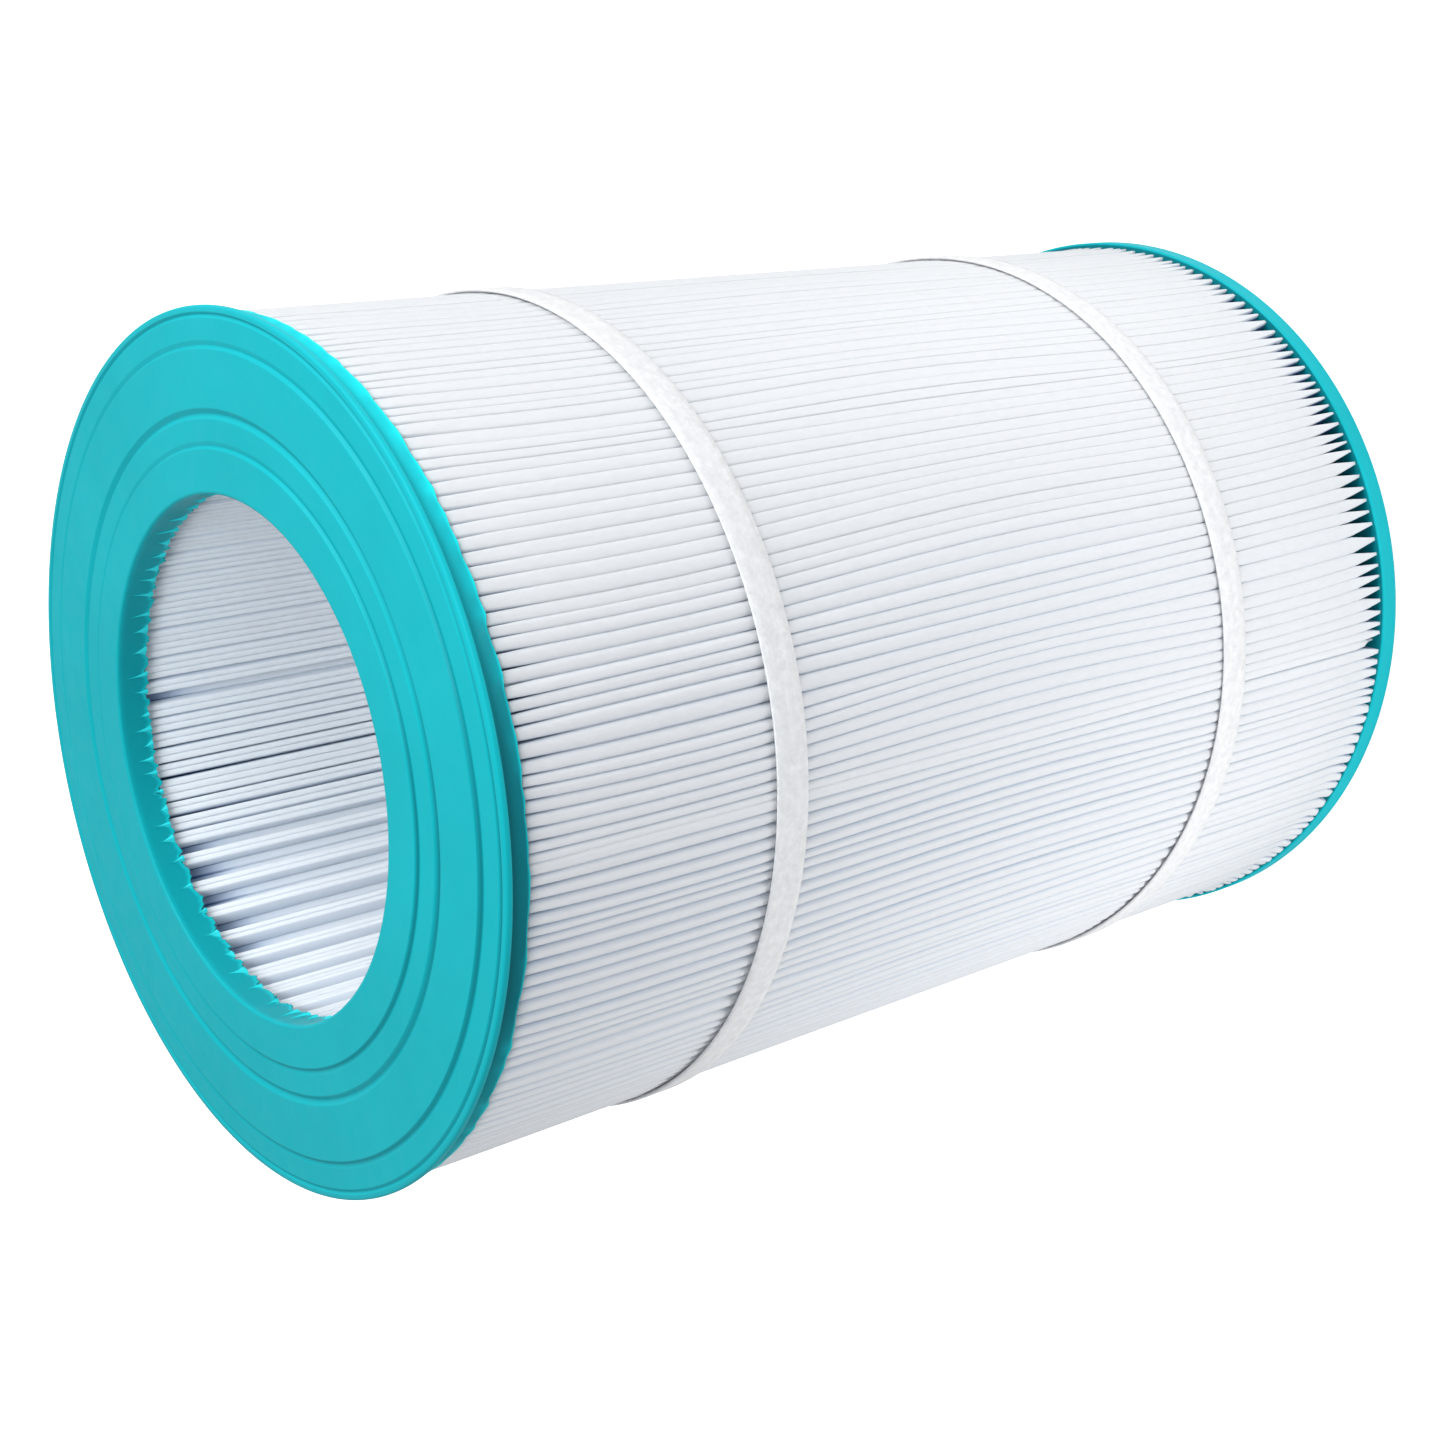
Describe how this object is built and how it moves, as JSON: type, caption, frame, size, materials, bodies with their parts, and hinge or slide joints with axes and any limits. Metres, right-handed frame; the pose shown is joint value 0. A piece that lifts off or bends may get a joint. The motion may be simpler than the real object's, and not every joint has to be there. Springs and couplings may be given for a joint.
{
  "type": "pleated pool filter cartridge",
  "caption": "Round pleated filter cartridge with open moulded end caps, a lip on the front cap and two straps round the pleats.",
  "frame": {"origin": "centre of the rear end cap's outer face, on which the cartridge stands", "axes": "+Z along the cartridge's axis, from the rear end cap towards the front end cap"},
  "size_m": [0.2524, 0.2524, 0.3747],
  "materials": {
    "cap_polyurethane": "satin moulded polyurethane",
    "media_polyester": "matt spun-bonded polyester",
    "band_polyester": "matt spun-bonded polyester strap",
    "hot_melt": "cloudy hot-melt adhesive"
  },
  "bodies": {
    "root": {"front_end_cap": "cap_polyurethane", "rear_end_cap": "cap_polyurethane", "pleated_media": "media_polyester", "media_seam_bond": "hot_melt", "front_band": "band_polyester", "rear_band": "band_polyester", "front_band_adhesive": "hot_melt", "rear_band_adhesive": "hot_melt"}
  },
  "joints": []
}
